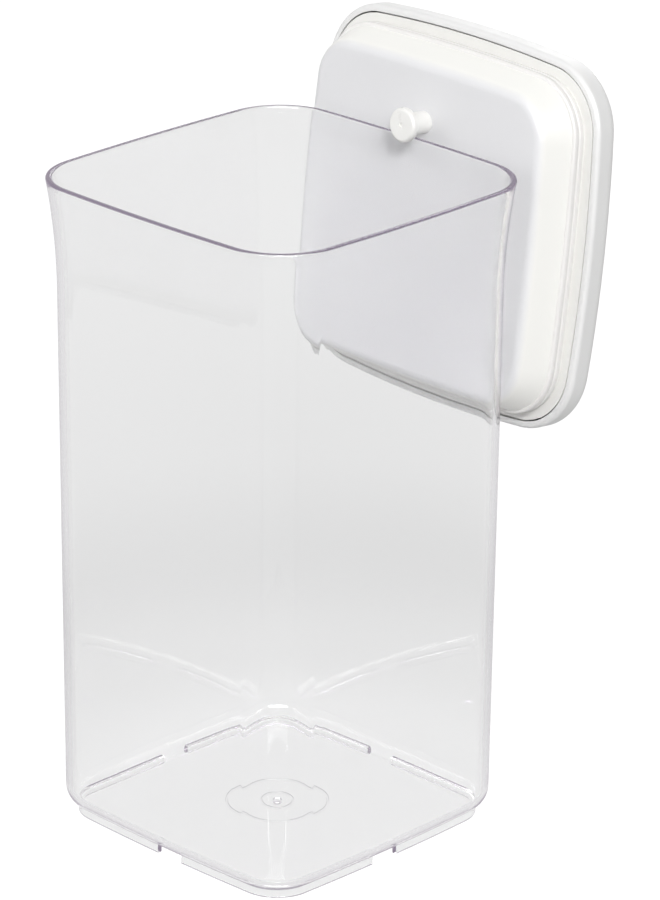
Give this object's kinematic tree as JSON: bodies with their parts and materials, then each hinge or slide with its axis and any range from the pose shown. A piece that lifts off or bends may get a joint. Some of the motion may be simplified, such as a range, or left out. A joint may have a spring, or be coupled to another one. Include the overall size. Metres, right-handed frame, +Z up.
{
  "type": "storage canister",
  "caption": "Tall clear square canister with a flared mouth; its white push-button plug lid hangs on the back of the rim by a small peg.",
  "frame": {"origin": "centre of the whole object's footprint box, on the plane the jar's foot stands on; the jar's own axis is at y = -0.0251 m", "axes": "+Z up along the jar, +Y towards the side of the rim the lid hangs on, +X along that side"},
  "size_m": [0.1693, 0.2098, 0.3365],
  "materials": {
    "jar_plastic": "clear, glossy, faint violet tint at the edges",
    "white_shell": "satin white",
    "white_inner": "white, fine matt",
    "white_plug": "white, fine matt",
    "white_peg": "white, satin",
    "white_button": "white, satin",
    "gasket_rubber": "off-white silicone, matt",
    "shaft_plastic": "natural acetal",
    "lever_plastic": "natural acetal",
    "latch_plastic": "grey acetal",
    "screw_steel": "bright steel",
    "spring_steel": "spring steel"
  },
  "bodies": {
    "jar": {"jar": "jar_plastic"},
    "lid_base": {"base_plate": "white_plug", "hook_peg": "white_peg", "peg_screw": "screw_steel", "gasket": "gasket_rubber", "shoulder_screws": "screw_steel"},
    "lid_cap": {"cap_shell": "white_shell", "frame": "white_inner", "lever_pins": "screw_steel", "latch_screw": "screw_steel", "return_spring": "spring_steel"},
    "lid_button": {"button": "white_button", "button_shaft": "shaft_plastic", "shaft_screw": "screw_steel", "retaining_ring": "spring_steel"},
    "rocker_1": {"lever_1": "lever_plastic"},
    "rocker_2": {"lever_2": "lever_plastic"},
    "rocker_3": {"lever_3": "lever_plastic"},
    "rocker_4": {"lever_4": "lever_plastic"},
    "latch": {"latch_arm": "latch_plastic"}
  },
  "joints": [
    {"name": "lid_lift", "type": "slide", "parent": "jar", "child": "lid_base", "axis": [0.003, 0.1097, 0.994], "range_m": [0, 0.15]},
    {"name": "lid_squeeze", "type": "slide", "parent": "lid_base", "child": "lid_cap", "axis": [-0.0271, -0.9936, 0.1097], "range_m": [0, 0.0024], "deforming": ["gasket"]},
    {"name": "button_press", "type": "slide", "parent": "lid_cap", "child": "lid_button", "axis": [-0.0271, -0.9936, 0.1097], "range_m": [0, 0.01], "stiffness_N_per_m": 800, "springref_m": -0.005, "deforming": ["return_spring"]},
    {"name": "rocker_1_turn", "type": "hinge", "parent": "lid_cap", "child": "rocker_1", "pos_m": [-0.02892, 0.07185, 0.25349], "axis": [-0.003, -0.1097, -0.994], "range_deg": [0, 27.54]},
    {"name": "rocker_2_turn", "type": "hinge", "parent": "lid_cap", "child": "rocker_2", "pos_m": [-0.00034, 0.0742, 0.28181], "axis": [-0.9996, 0.0272, 0], "range_deg": [0, 27.54]},
    {"name": "rocker_3_turn", "type": "hinge", "parent": "lid_cap", "child": "rocker_3", "pos_m": [0.02806, 0.07029, 0.25349], "axis": [0.003, 0.1097, 0.994], "range_deg": [0, 27.54]},
    {"name": "rocker_4_turn", "type": "hinge", "parent": "lid_cap", "child": "rocker_4", "pos_m": [-0.00051, 0.06794, 0.22516], "axis": [0.9996, -0.0272, 0], "range_deg": [0, 27.54]},
    {"name": "latch_swing", "type": "hinge", "parent": "lid_cap", "child": "latch", "pos_m": [-0.01851, 0.08678, 0.25181], "axis": [-0.0271, -0.9936, 0.1097], "range_deg": [0, 22.86]}
  ],
  "couplings": [
    {"joint": "lid_squeeze", "follows": "button_press", "ratio": 0.24},
    {"joint": "rocker_1_turn", "follows": "button_press", "rad_per_m": 48.066},
    {"joint": "rocker_2_turn", "follows": "button_press", "rad_per_m": 48.066},
    {"joint": "rocker_3_turn", "follows": "button_press", "rad_per_m": 48.066},
    {"joint": "rocker_4_turn", "follows": "button_press", "rad_per_m": 48.066}
  ]
}
